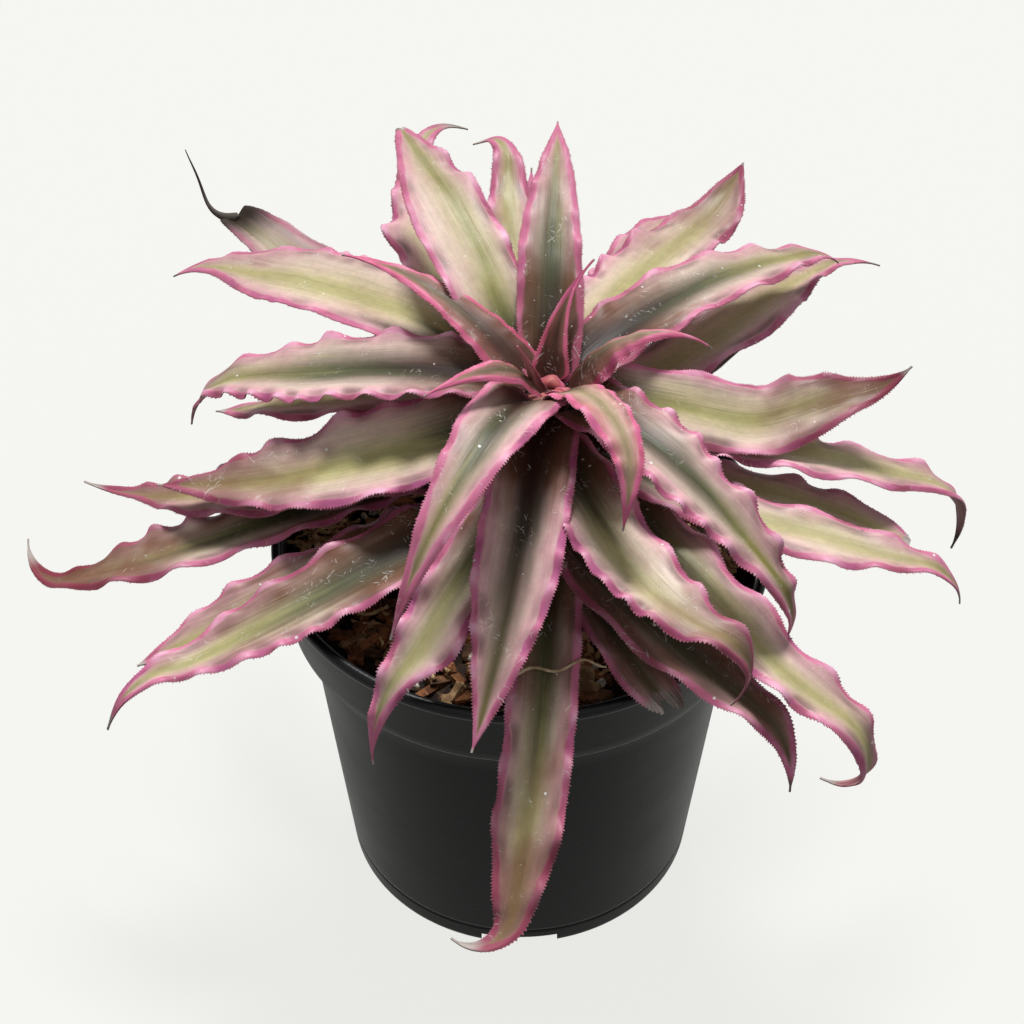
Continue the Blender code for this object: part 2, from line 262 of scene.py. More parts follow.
def leafFinish(name, tones):
    mat, tree, shader = newMaterial(name, tones["roughness"], tones["specular"])
    tone = {key: colour(*value) for key, value in tones.items() if isinstance(value, tuple)}

    def carried(attribute):
        read = addNode(tree, "Attribute", attribute_name=attribute).outputs["Vector"]
        return read, addNode(tree, "SeparateXYZ", {0: read}).outputs

    def around(value, reach):  # a noise value turned into a shift to both sides
        return times(calc('SUBTRACT', value, 0.5), reach)

    def pattern(across, along, detail=2.0, roughness=0.5, turn=0.0, shift=(0, 0, 0)):  # repeats per mm
        return noiseOf(stretch(place, (across, along, 1), turn, shift), 1.0, detail, roughness)

    def cells(across, along, shift):
        where = stretch(place, (across, along, 1), shift=shift)
        made = addNode(tree, "TexVoronoi", {"Vector": where, "Scale": 1.0})
        return made.outputs["Distance"], addNode(tree, "SeparateXYZ", {0: made.outputs["Color"]}).outputs

    place = carried("leafPlace")[0]
    across, along, edge = carried("leafShape")[1]
    dark, green, dry = carried("leafLook")[1]
    pink, purple, face = carried("leafTint")[1]
    brown, rot, aged = carried("leafAge")[1]
    wave = addNode(tree, "Attribute", attribute_name="leafWave").outputs["Fac"]

    fine = pattern(2.2, 0.05, 2, 0.6)
    streak = pattern(0.7, 0.022, 3, 0.55)
    broad = pattern(0.2, 0.018)
    cloud = pattern(0.09, 0.05)
    drift = around(pattern(0.002, 0.016, 1), 0.9)
    off = calc('ABSOLUTE', add(across, times(drift, ease(dark, 0, 0.3, 1, 0.2))))
    off = add(off, around(broad, 0.4), around(streak, 0.16), around(cloud, 0.2))

    # The middle stripe narrows towards the tip, and runs from dark through grey-green and green to pale
    reach = calc('MULTIPLY_ADD', along, -leafPattern["stripeTaper"], leafPattern["stripeWidth"])
    stripe = ease(calc('DIVIDE', off, reach), 0.05, 1.15, 1, 0)
    core = ease(off, 0, 0.34, 1, 0)
    greenness = times(green, add(times(core, 0.7), around(cloud, 1.1), around(fine, 0.35), 0.4))
    middle = paint(greenness, tone["pale"], tone["green"])
    # the dark base is partly the leaf's own colour and partly painted shade, where the blades overlap near
    # the crown
    darkness = add(dark, around(streak, 0.4), around(broad, 0.55))
    middle = paint(ease(darkness, 0.05, 0.5), middle, tone["greyGreen"])
    middle = paint(ease(darkness, 0.35, 0.85), middle, tone["dark"])
    blushing = add(times(pink, 0.75), around(cloud, 1.2), ease(edge, 1.5, 6.5, 0.75, 0))
    flank = paint(ease(blushing, 0.1, 1.0), tone["cream"], tone["blush"])
    # brown flanks near the stem: partly the leaf's own browning, partly painted shade
    browning = add(brown, around(streak, 0.35), around(broad, 0.5), around(cloud, 0.8), 0.04)
    ageing = times(aged, ease(add(along, around(cloud, 0.5)), 0.45, 0.85))
    flank = paint(ease(browning, 0.1, 0.7), flank, tone["brown"])
    flank = paint(ease(browning, 0.55, 1.1, 0, 0.9), flank, tone["dark"])
    base = paint(stripe, flank, middle)
    base = paint(ageing, base, tone["brown"])
    grain = pattern(0.5, 0.28, 3, 0.7)
    blotch = pattern(0.16, 0.11, 3, 0.6, shift=(0, 30, 0))
    lines = add(around(fine, 0.3), around(streak, 0.22), around(grain, 0.42), around(blotch, 0.25), 1.02)
    shade = addNode(tree, "CombineXYZ", {0: lines, 1: lines, 2: lines}).outputs[0]
    base = paint(1.0, base, shade, 'MULTIPLY')

    # The pink margin: a painted highlight on the crests, darker near the stem, and painted shade in the
    # hollows of the ruffle, a dull line inside it and a deeper pink
    rim = add(edge, around(pattern(0.12, 0.09, 3), leafPattern["rimWander"]))
    # painted shade: a dull band a few mm inside the margin, strongest in the hollows of the ruffle
    inner = times(ease(rim, 1.6, 2.5), ease(rim, 3.0, 5.6, 1, 0))
    hollow = ease(add(wave, around(cloud, 2.4)), -0.7, 0.4, 0.62, 0)
    base = paint(times(inner, hollow), base, tone["paintedHollowShade"])
    violet = ease(add(cloud, times(purple, 0.4), times(wave, -0.25)), 0.62, 1.0, 0, 0.7)
    pinks = paint(violet, tone["pink"], tone["purple"])
    # painted highlight: paler pink on the ruffle's crests and in random patches along the margin
    shine = pattern(0.25, 0.12, shift=(40, 0, 0))
    pinks = paint(ease(add(shine, times(wave, 0.35)), 0.5, 0.95, 0, 0.85), pinks, tone["paintedCrestHighlight"])
    # painted shade: deeper pink in the hollows of the ruffle and in random patches
    pinks = paint(ease(add(shine, times(wave, 0.3)), 0.2, 0.5, 0.55, 0), pinks, tone["deepPink"])
    pinks = paint(ease(browning, 0.3, 1.0, 0, 0.7), pinks, tone["deepPink"])
    pinks = paint(ageing, pinks, tone["deepPink"])
    base = paint(ease(rim, leafPattern["rimFull"], leafPattern["rimEnd"], 1, 0), base, pinks)

    # The back is duller, and pink
    under = paint(ease(streak, 0.3, 0.7), tone["back"], tone["backPale"])
    base = paint(face, under, base)

    # White scurf: short hair-like marks in patches, thickest near the stem, and specks
    hairs = None
    for turn, shift in ((12, 0), (-48, 11), (63, 23)):
        mark = ease(pattern(0.29, 1.9, 1, 0.4, turn, (shift, 0, 0)), 0.68, 0.73)
        hairs = mark if hairs is None else calc('MAXIMUM', hairs, mark)
    patch = calc('MULTIPLY_ADD', dark, 0.06, pattern(0.17, 0.1, shift=(0, 70, 0)))
    white = times(times(hairs, ease(patch, 0.56, 0.68)), leafPattern["hairs"])
    for size, shift, rare, amount in leafPattern["specks"]:
        distance, chosen = cells(size, size, (shift, 0, 0))
        inside = calc('LESS_THAN', distance, calc('MULTIPLY_ADD', chosen[1], 0.07, 0.03))
        speck = times(inside, calc('GREATER_THAN', chosen[0], rare))
        white = calc('MAXIMUM', white, times(speck, amount))
    white = times(white, calc('MULTIPLY_ADD', face, 0.85, 0.15))
    base = paint(white, base, tone["scurf"])

    # A few brown spots, then the dried and the rotten end
    distance, chosen = cells(0.075, 0.055, (9, 4, 0))
    pit = ease(add(distance, around(fine, 0.02)), 0.03, 0.06, 1, 0)
    pit = times(pit, calc('GREATER_THAN', chosen[1], 0.72))
    base = paint(times(pit, 0.85), base, tone["dryDark"])
    withered = paint(ease(add(broad, around(fine, 0.6)), 0.4, 0.75), tone["dry"], tone["dryDark"])
    base = paint(ease(add(dry, around(streak, 0.6)), 0.25, 0.8), base, withered)
    base = paint(ease(add(rot, around(streak, 0.3)), 0.05, 1.0), base, tone["rot"])
    wire(base, shader, "Base Color")
    rough = calc('MULTIPLY_ADD', cloud, 0.2, tones["roughness"] - 0.1)
    wire(calc('MULTIPLY_ADD', dry, 0.3, rough), shader, "Roughness")
    height = add(times(fine, 0.35), times(streak, 0.8), times(white, 0.3), times(broad, 1.6))
    bump(shader, height, leafPattern["relief"] * mm, leafPattern["reliefStrength"])
    return mat


matureLeaf = leafFinish("mature leaf", matureTones)
youngLeaf = leafFinish("young leaf", youngTones)
budLeaf = leafFinish("bud leaf", budTones)
print("leaf finishes made")


# Leaves, in millimetres and degrees: the solids' own sizes, with later corrections.
#   bearing   direction from the stem, counted from +X towards +Y
#   height    of its base above the floor
#   lift      angle above level at which it leaves the stem
#   droop     how far that angle has fallen by the tip; bend below 1 puts the fall near the stem
#   sway, bow sideways turn that grows towards the tip, and one that comes and goes
#   hook      (share of the length, extra fall, extra swing) of the curled tip
#   roll      lean of the whole blade to one side
#   hold      where it starts to narrow, and taper sets how full it then stays
#   thread    length of the dried thread beyond the blade
#   dark      share of the length over which the dark stripe fades; brown is the same for the flanks
#   aged      0 to 1, how brown the outer part has turned
#   green     0 to 1, as pink and purple, tints the blade
#   dry       length of the withered tip, rot of a black one, torn the depth of a ragged end;
#             dull turns the whole blade brown
#   wave      height of the margins' ruffles, left and right; pitch is the way from crest to crest
#   crests    shares of the length where the left and the right margin crest; the rest follow at random
#   neck      width at the base, and point above 1 draws the tip out; blunt leaves it wide
#   fold      how far the halves rise (or fall, below 0), and cup how far the base wraps round the stem
#   edges     (side, share, outward, reach) of a place where one margin stands out or in
#   nudges    (share, sideways, upward, reach) of a place where the whole blade shifts
def leaf(bearing, height, length, width, lift, droop, bend=0.5, sway=0, bow=0, hook=(0.1, 0, 0), roll=0,
         hold=0.5, taper=1.6, thread=0, dark=0.35, green=0.45, pink=0.4, purple=0.3, dry=6, dull=0,
         wave=(2, 2), pitch=20, crests=((), ()), brown=None, aged=0.2, rot=0, torn=0, neck=0.6, point=1.2,
         blunt=0, fold=0.2, cup=0.2, edges=(), nudges=()):
    brown = dark * 0.85 if brown is None else brown
    return locals()


# dark, brown, aged and dull are set higher on left_leaf_7, left_leaf_8, left_leaf_9, front_leaf_1,
# front_leaf_5, front_leaf_6 and right_leaf_4, so that they also paint part of the shade that falls on these
# blades
leaves = {
    "left_leaf_1": leaf(121, 163, 183, 20, 24, 35, 0.3, 17, hold=0.72, taper=3, thread=35, dark=0.4,
        green=0.6, pink=0.55, dry=0, rot=24, dull=0.5, point=1, blunt=0.6, wave=(0.5, 0.6), fold=0.6,
        nudges=((0.74, 8, -2, 0.34),)),
    "left_leaf_2": leaf(134, 186, 173, 30, 32, 55, 0.3, 16, hook=(0.1, 12, 2), roll=-8, hold=0.6, green=0.35,
        pink=0.3, dry=4, wave=(0.5, 0.9), crests=((0.5, 0.6, 0.64, 0.72), (0.525, 0.57, 0.61, 0.72, 0.85)),
        edges=((1, 0.86, -2.5, 0.16),), nudges=((0, 0, -4, 0.3), (0.85, 0, 1.5, 0.2))),
    "left_leaf_3": leaf(162, 190, 138, 30, 31, 61, 0.3, -5, hook=(0.25, 50, 0), roll=-6, dark=0.9, brown=0.35,
        green=0.5, pink=0.45, pitch=12, nudges=((0.5, 0, -1.5, 0.4),), neck=0.5,
        crests=((0.14, 0.235, 0.34, 0.44, 0.52, 0.58, 0.66), (0.2, 0.35, 0.53, 0.63, 0.755, 0.88))),
    "left_leaf_4": leaf(138, 172, 122, 24, 22, 53, 0.5, -4, bow=34, dark=0.12, green=0.1, pink=1, dry=14),
    "left_leaf_5": leaf(189, 182, 130, 33, -3, 20, 0.3, -40, roll=-15, taper=1.3, dark=0.32, brown=0.3,
        aged=0.7, pink=0.35, crests=((0.365, 0.56, 0.66), (0.44, 0.66, 0.745)),
        edges=((-1, 0.55, -2.5, 0.1),)),
    "left_leaf_6": leaf(182, 170, 161, 27, -5, 17, 0.3, -37, hook=(0.17, -26, 8), roll=-4, dark=0.5, aged=0.7,
        green=0.4, pink=0.6, dry=14, crests=((0.6,), ()), edges=((1, 0.85, -3, 0.16),)),
    "left_leaf_7": leaf(177, 161, 190, 22, 10, 38, 0.3, -28, bow=18, hook=(0.17, -45, -52), hold=0.55,
        taper=1.4, dark=0.9, aged=1, green=0.5, dry=22, pitch=22, edges=((-1, 0.67, 4.5, 0.18),),
        crests=((0.385, 0.48, 0.6, 0.72), (0.67, 0.74, 0.84))),
    "left_leaf_8": leaf(215, 158, 153, 26, -1, 15, 0.5, -17, hook=(0.16, 45, 15), roll=-4, taper=1.4,
        dark=0.85, brown=0.95, aged=0, green=0.4, pink=0.45, dry=10, nudges=((0.88, 0, 2.5, 0.15),),
        crests=((0.48, 0.55, 0.61, 0.68, 0.77), (0.43, 0.58, 0.68))),
    "left_leaf_9": leaf(206, 149, 133, 26, 14, 35, 0.4, -10, hold=0.6, taper=2.5, dark=0.9, brown=1.1,
        green=0.4, pink=0.7, crests=((), (0.73, 0.84))),
    "front_leaf_1": leaf(250, 172, 123, 19, 12, 60, 0.9, -33, hook=(0.25, 50, 25), roll=-15, dark=0.75,
        brown=0.6, aged=0, green=0.25, pink=0.2, dry=5, wave=(2.6, 2.6),
        crests=((0.62, 0.69), (0.53, 0.64, 0.755)), edges=((1, 0.64, 3.5, 0.12),), point=1.6),
    "front_leaf_2": leaf(251, 191, 115, 23, 53, 119, 0.93, -20, hold=0.3, taper=1.3, dark=0.85, brown=0.35,
        green=0.55, pink=0.45, dry=4, wave=(0.9, 0.9), crests=((0.3, 0.47), (0.41, 0.52)), neck=1, cup=0.4),
    "front_leaf_3": leaf(262, 188, 115, 25, 31, 71, 0.4, -15, bow=3.5, dark=1.35, brown=0.5, green=1,
        pink=0.6, dry=3, wave=(1.1, 1.8), purple=0.5, neck=0.85,
        crests=((0.28, 0.38, 0.49, 0.575, 0.68, 0.76), (0.58, 0.7))),
    "front_leaf_4": leaf(271, 156, 161, 20, 19, 57, 0.4, -18, hook=(0.14, -60, -105), hold=0.7, taper=1.4,
        dark=0.75, aged=0.8, green=0.5, pink=0.45, dry=16, pitch=19,
        crests=((0.36, 0.5, 0.595, 0.72, 0.82), (0.5, 0.605, 0.7, 0.84))),
    "front_leaf_5": leaf(284, 152, 85, 15, 1, 14, 0.6, 25, hold=0.8, taper=4, dark=1.5, green=0.6, pink=0.6,
        dry=9, torn=4, dull=0.3, point=1, blunt=0.38, crests=((), (0.7, 0.95))),
    "front_leaf_6": leaf(281.5, 162, 130, 25, 4, 20, 0.3, 36, bow=21, hook=(0.19, 48, -56), dark=1.5,
        green=0.6, pink=0.7, dry=8, dull=0.3, crests=((), (0.43, 0.62, 0.78))),
    "front_leaf_7": leaf(286, 180, 126, 23, 19, 26, 0.3, 60, bow=-8, hook=(0.25, 117, -10), taper=2,
        point=1.7, dark=0.5, aged=0.7, green=0.3, pink=0.15, purple=0.7, dry=4,
        crests=((0.33, 0.52), (0.36, 0.45, 0.53, 0.6, 0.66)), nudges=((0.86, 3, 1.5, 0.14),)),
    "front_leaf_8": leaf(318, 164.5, 164, 20, 18, 47, 0.5, 45, bow=-23, hook=(0.27, 142, -44), hold=0.6,
        taper=1.4, dark=0.5, green=0.3, dry=14, crests=((0.33, 0.49, 0.67, 0.77), (0.71,)),
        edges=((1, 0.41, -1.5, 0.08), (1, 0.6, -2, 0.09))),
    "front_leaf_9": leaf(312, 187, 120, 24, 65, 123, 0.49, 16, hook=(0.22, 55, 7), hold=0.45, taper=1.5,
        dark=0.8, brown=0.35, green=0.9, pink=0.5, dry=4, pitch=15, neck=1.1, cup=0.4,
        crests=((0.185, 0.3, 0.4, 0.47, 0.585, 0.72), (0.33, 0.41, 0.5, 0.57, 0.64, 0.74)),
        edges=((1, 0.5, -2.5, 0.12),)),
    "front_leaf_10": leaf(326, 177, 62, 17, 4, 19, 0.8, -15, dark=1, green=0.5, pink=0.5),
    "right_leaf_1": leaf(348, 160, 135, 20, -3, 3, 0.5, 9, bow=-9, hook=(0.18, 80, -4), hold=0.6, dark=0.4,
        green=0.2, pink=0.35, dry=12, crests=((0.38, 0.55), (0.63, 0.73, 0.85)),
        edges=((-1, 0.62, 1.7, 0.15),)),
    "right_leaf_2": leaf(3, 154, 113, 18, 8, 32, 0.8, -19, hold=0.8, taper=3, dark=0.3, green=0.2, pink=0.9,
        purple=0.7, dry=5, dull=0.15, point=1, blunt=0.3, crests=((0.77,), ())),
    "right_leaf_3": leaf(12, 168, 161, 19, 11, 39, 0.5, 15, bow=-14, hook=(0.25, 83, -2), hold=0.6, dark=0.12,
        green=0.1, pink=0.5, dry=16, crests=((0.75,), (0.43, 0.565, 0.85)), edges=((-1, 0.72, -2.5, 0.1),)),
    "right_leaf_4": leaf(13, 188, 120, 27, -3, 25, 0.3, 15, bow=-6, hook=(0.5, -75, -8), roll=20, hold=0.55,
        dark=0.32, aged=0.9, green=0.5, pink=0.3, dry=8, crests=((0.36, 0.64, 0.78), (0.25, 0.5, 0.8)),
        edges=((1, 0.58, -1.5, 0.07),), nudges=((0.74, 2, 5.5, 0.28),)),
    "right_leaf_5": leaf(45, 164, 170, 25, 15, 26, 0.5, 8, hook=(0.21, 20, -29), dark=0.12, green=0.1,
        pink=0.7, dry=14, crests=((), (0.37, 0.63)), edges=((-1, 0.75, -2, 0.15),), point=1.5),
    "right_leaf_6": leaf(51, 188, 144, 26, 34, 53, 0.3, -17, hook=(0.13, 30, 4), hold=0.55, dark=0.95,
        brown=0.6, green=0.6, pink=0.3, dry=3, wave=(1.6, 2.2), crests=((0.73, 0.85), (0.37, 0.57, 0.77)),
        neck=0.8),
    "right_leaf_7": leaf(68, 184, 152, 28, 23, 39, 0.3, -15, hook=(0.29, -51, 4), taper=2.2, point=0.9,
        dark=0.3, aged=0.6, green=0.35, pink=0.3, dry=2, wave=(2.2, 1.8), crests=((0.62, 0.78), (0.7, 0.84)),
        edges=((-1, 0.85, 2.6, 0.15),)),
    "right_leaf_8": leaf(75, 168, 132, 20, 14, 22, 0.6, -13, hold=0.75, taper=2.5, dark=0.3, green=0.2,
        pink=0.6, point=1),
    "back_leaf_1": leaf(88, 187, 107, 21, 38.5, 39, 1, hold=0.45, taper=1.4, dark=0.9, green=0.6, pink=0.5,
        dry=2, wave=(0.8, 0.8), crests=((0.33, 0.44, 0.555), (0.31, 0.455, 0.57)), neck=0.8,
        edges=((-1, 0.5, -1.8, 0.35),), point=1.1),
    "back_leaf_2": leaf(115, 189, 119, 28, 33, 34, 0.7, -3, taper=1.5, green=0.7, pink=0.3, dry=3,
        wave=(0.8, 1.8), crests=((), (0.44, 0.7)), point=1, blunt=0.12,
        edges=((-1, 0.42, -3, 0.3), (1, 0.6, 1.5, 0.45)), nudges=((0, 0, -6, 0.4),)),
    "back_leaf_3": leaf(121, 166, 177, 20, 19, 22, 0.7, -46, hook=(0.16, 10, -62), dark=0.12, green=0.2,
        pink=0.8, dry=22, point=1, crests=((0.57,), ()), edges=((1, 0.565, 4, 0.06),),
        nudges=((0.93, 0, 2.5, 0.1),)),
    "back_leaf_4": leaf(99, 174, 131, 19, 23, 16, 1, -9, hook=(0.21, 36, 60), dark=0.4, green=0.35, pink=0.5,
        dry=14, point=1, edges=((-1, 0.75, -1.5, 0.2),), nudges=((0.88, 0, 2.5, 0.12),)),
    "back_leaf_5": leaf(94, 153, 130, 17, 24, 18, 1, -5, dark=0.4, green=0.2, pink=0.5),
    "crown_leaf_1": leaf(136, 190, 85, 15, 39, 56, 0.78, 7, hold=0.25, taper=1.2, dark=0.95, green=0.8,
        pink=0.6, dry=3, wave=(0.5, 0.7), pitch=9, neck=1.2, cup=0.1, fold=0.1),
    "crown_leaf_2": leaf(83, 190, 41, 10.5, 54, 24, 0.7, -45, hold=0.1, taper=1, point=1.35, dark=1.2,
        green=0.3, pink=0.5, dry=1, wave=(0.2, 0.2), neck=1.1, fold=0.6),
    "crown_leaf_3": leaf(3, 194, 52, 15, 60, 101, 1.45, -11, hold=0.25, taper=1, point=1.5, dark=0.6,
        green=0.3, pink=0.8, dry=3, wave=(0.6, 0.9), pitch=8, neck=1.2, fold=-0.45),
    "crown_leaf_4": leaf(237, 195, 58, 11, 66, 74, 1, -22, hold=0.25, taper=1.2, roll=-22, dark=0.9,
        green=0.5, pink=0.9, dry=2, wave=(0.4, 0.4), pitch=8, neck=1.2, cup=0.1, fold=-0.1),
    "crown_leaf_5": leaf(240, 195, 28, 5.5, 71, 11, 1, -3, hold=0.1, taper=1, point=1, dark=1.1, green=0.2,
        pink=0.8, dry=0, wave=(0.1, 0.1), neck=1, fold=0.5),
    "crown_leaf_6": leaf(294, 194, 82, 13, 48, 109, 1.45, -9, hook=(0.33, 16, -45), green=0.6, pink=0.5,
        dry=3, wave=(0.9, 1.5), pitch=11, neck=1.6, cup=0, fold=0.05, edges=((-1, 0.05, 7, 0.25),)),
    "dry_leaf_right": leaf(46, 153, 88, 9, 6, 8, 0.5, hook=(0.25, -40, -30), dark=0.5, dull=1, dry=30),
}

# How every blade is made, in millimetres; the shares count along the blade, or outwards from the midrib
blade = {
    "plantX": 8, "plantY": 5, "stemRadius": 7, "stemTopRadius": 4, "stemTop": 208, "stemShoulder": 188,
    "gap": 0.3, "rib": 1.5, "margin": 0.5, "thinTip": 0.4, "shoulderAt": 0.34, "cupEnd": 0.3, "rootEnd": 0.05,
    "flange": 5.5, "brim": 1.4, "brimStart": 0.68, "fullWidth": 19, "tipWidth": 0.6, "rowStep": 0.92,
    "cells": 18, "crowding": 1.3,  # columns across, and how far they crowd towards the margins
    "unevenness": 0.7, "waveSpread": 0.15, "tooth": 0.78, "toothSizes": (0.55, 1.15), "toothLean": 0.45,
    "threadRadius": 0.7, "threadRise": 68, "threadRings": 22, "threadSides": 8,
}


def clampShare(value):
    return max(0.0, min(value, 1.0))


def smooth(value):
    value = clampShare(value)
    return value * value * (3 - 2 * value)


def stemRadiusAt(z):
    top = blade["stemTop"] - 1
    share = clampShare((z - blade["stemShoulder"]) / (top - blade["stemShoulder"]))
    return blade["stemRadius"] + (blade["stemTopRadius"] - blade["stemRadius"]) * share


def widthAt(s, size):
    neck = size["neck"]
    grow = neck + (1 - neck) * sin(min(s / blade["shoulderAt"], 1) * pi / 2)
    grow *= 0.4 + 0.6 * sqrt(min(s / blade["rootEnd"], 1))
    fall = (1 - max(0, (s - size["hold"]) / (1 - size["hold"])) ** size["taper"]) ** size["point"]
    return max(size["width"] * grow * (size["blunt"] + (1 - size["blunt"]) * fall), blade["tipWidth"])


# A smooth swelling round one share of the length, from 0 through 1 to 0
def swelling(s, at, reach):
    return cos(pi / 2 * min(abs(s - at) / reach, 1)) ** 2


def standOut(s, sign, size):
    return sum(out * swelling(s, at, reach) for side, at, out, reach in size["edges"] if side == sign)


def thicknessAt(half):
    return min(blade["rib"], half / 4 + blade["thinTip"])


def anglesAt(m, size):
    hookShare, hookFall, hookSwing = size["hook"]
    curl = max(0, (m - 1 + hookShare) / hookShare)
    rise = size["lift"] - size["droop"] * m ** size["bend"] - hookFall * curl
    swing = size["sway"] * m ** 1.5 + size["bow"] * sin(pi * m) + hookSwing * curl
    return radians(rise), radians(size["bearing"] + swing)


# Places, sideways, upward and lengthwise vectors from the stem to the tip, in millimetres
def centreline(size, steps):
    bearing = radians(size["bearing"])
    height = size["height"]
    thick = blade["rib"]
    firstRise = anglesAt(0.5 / steps, size)[0]
    out = stemRadiusAt(height) + blade["gap"] + thick * max(0, -sin(firstRise))
    place = Vector((blade["plantX"] + out * cos(bearing),
                    blade["plantY"] + out * sin(bearing), height))
    places, headings, directions = [place], [], []
    for k in range(steps):
        rise, heading = anglesAt((k + 0.5) / steps, size)
        place = place + direction(rise, heading) * (size["length"] / steps)
        places.append(place)
        headings.append(heading)
        directions.append(direction(rise, heading))
    lean = radians(size["roll"])
    frames = []
    for k in range(steps + 1):
        before, after = max(k - 1, 0), min(k, steps - 1)
        along = (directions[before] + directions[after]).normalized()
        heading = (headings[before] + headings[after]) / 2
        side = Vector((-sin(heading), cos(heading), 0))
        up = along.cross(side).normalized()
        for at, sideways, upward, reach in size["nudges"]:
            places[k] += (side * sideways + up * upward) * swelling(k / steps, at, reach)
        frames.append((places[k], side * cos(lean) + up * sin(lean),
                       up * cos(lean) - side * sin(lean), along))
    return frames


# Heights of one margin's ruffle, row by row: sharp crests with long hollows between
def ruffle(size, side, rows, dice):
    length, pitch = size["length"], size["pitch"]
    crests = [share * length for share in size["crests"][side]]
    if not crests:
        crests = [dice.uniform(-0.6, 0.2) * pitch]
    while crests[0] > 0:
        crests.insert(0, crests[0] - pitch * dice.uniform(0.6, 1.4))
    while crests[-1] < length + 2 * pitch:
        crests.append(crests[-1] + pitch * dice.uniform(0.5, 1.5))
    sizes = [dice.uniform(0.6, 1.3) for _ in crests]
    heights = []
    for k in range(rows + 1):
        s = k / rows
        i = max(j for j in range(len(crests) - 1) if crests[j] <= s * length or j == 0)
        space = crests[i + 1] - crests[i]
        share = clampShare((s * length - crests[i]) / space)
        crest = abs(cos(pi * share)) ** 3
        tall = (sizes[i] + (sizes[i + 1] - sizes[i]) * share) * min(1, 0.5 + space / 24)
        height = size["wave"][side] * tall * (1.5 * crest - 0.5)
        heights.append(height * smooth(s / 0.2) * smooth((1 - s) / 0.22))
    return heights


